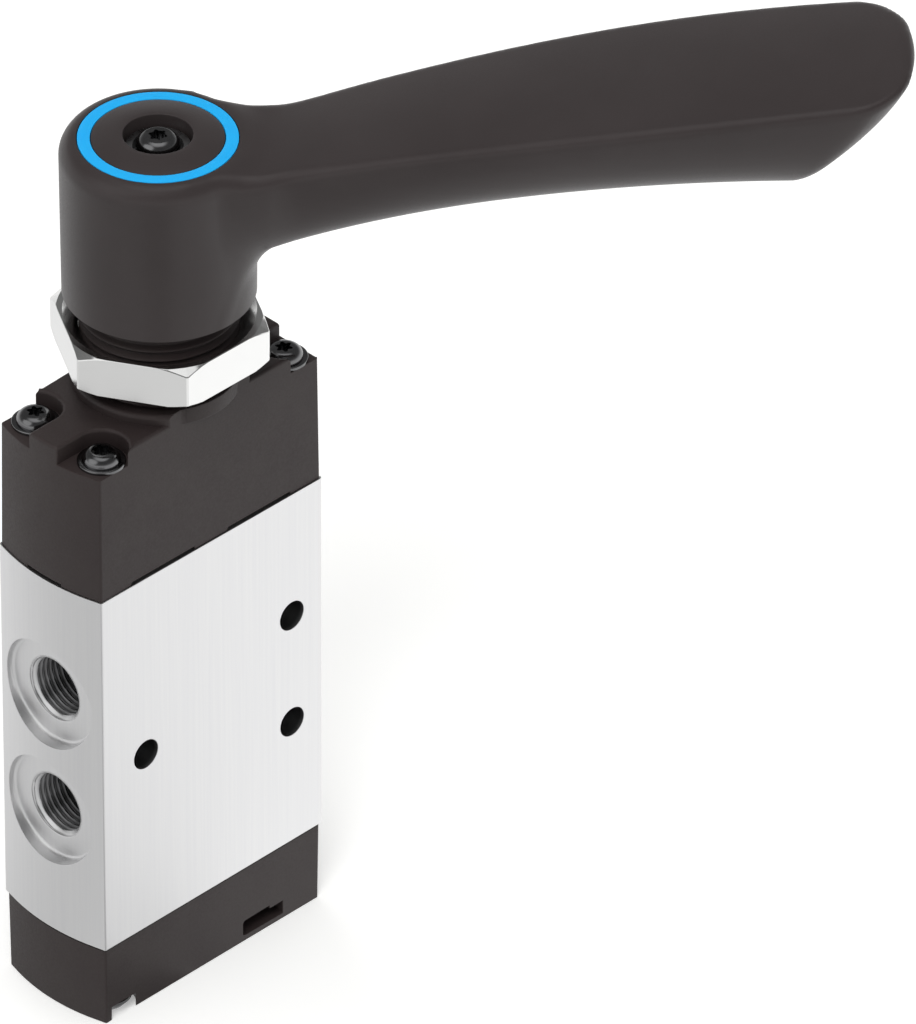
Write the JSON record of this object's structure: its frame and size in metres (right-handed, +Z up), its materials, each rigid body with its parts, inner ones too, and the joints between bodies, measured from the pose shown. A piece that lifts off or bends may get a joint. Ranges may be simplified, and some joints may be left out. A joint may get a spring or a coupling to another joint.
{
  "type": "hand lever air valve",
  "caption": "Air spool valve worked by a swinging hand lever on top, with threaded ports on both narrow sides and a threaded collar with a hexagon nut for panel mounting.",
  "frame": {"origin": "middle of the end cap's underside, under the spool and lever axis", "axes": "+Z up the spool and the lever shaft, X across the port sides with three ports on the flat +X side and two on the curved -X side, Y through the thickness along the mounting holes"},
  "size_m": [0.0997, 0.0906, 0.1483],
  "materials": {
    "body_aluminium": "fine satin, clear anodised",
    "housing_plastic": "fine moulded texture, black",
    "lever_plastic": "smooth moulded, black",
    "ring_plastic": "bright blue moulding",
    "nut_plating": "bright nickel plated",
    "screw_steel": "black oxide, shiny",
    "shaft_steel": "turned steel",
    "spring_steel": "drawn steel",
    "spool_aluminium": "ground and anodised",
    "bush_bronze": "turned",
    "bearing_plastic": "moulded, natural",
    "rubber": "matt black"
  },
  "bodies": {
    "valve": {"valve_body": "body_aluminium", "end_cap": "housing_plastic", "end_gasket": "rubber", "top_gasket": "rubber", "top_housing": "housing_plastic", "panel_nut": "nut_plating", "top_screws": "screw_steel", "end_screws": "screw_steel", "shaft_bush": "bush_bronze", "shaft_seal": "rubber", "cam_washer": "bearing_plastic", "slide_washer": "bearing_plastic", "detent_spring": "spring_steel", "spool_seals": "rubber", "seal_spacers": "bearing_plastic", "bore_sleeve": "bush_bronze", "bore_spacer": "bush_bronze", "return_spring": "spring_steel"},
    "hand_lever": {"cam_shaft": "shaft_steel", "lever": "lever_plastic", "lever_insert": "bush_bronze", "lever_washer": "shaft_steel", "lever_screw": "screw_steel", "hub_cover": "lever_plastic", "marker_ring": "ring_plastic"},
    "spool_group": {"spool": "spool_aluminium", "spring_seat": "bearing_plastic", "tappet": "bearing_plastic", "roller_pin": "spring_steel"}
  },
  "joints": [
    {"name": "lever_swing", "type": "hinge", "parent": "valve", "child": "hand_lever", "pos_m": [0, 0, 0.1086], "axis": [0, 0, 1], "range_deg": [0, 90], "deforming": ["detent_spring"]},
    {"name": "spool_slide", "type": "slide", "parent": "valve", "child": "spool_group", "axis": [0, 0, -1], "range_m": [0, 0.0028], "deforming": ["return_spring"]}
  ],
  "couplings": [
    {"joint": "spool_slide", "follows": "lever_swing", "m_per_rad": 0.0017825}
  ]
}
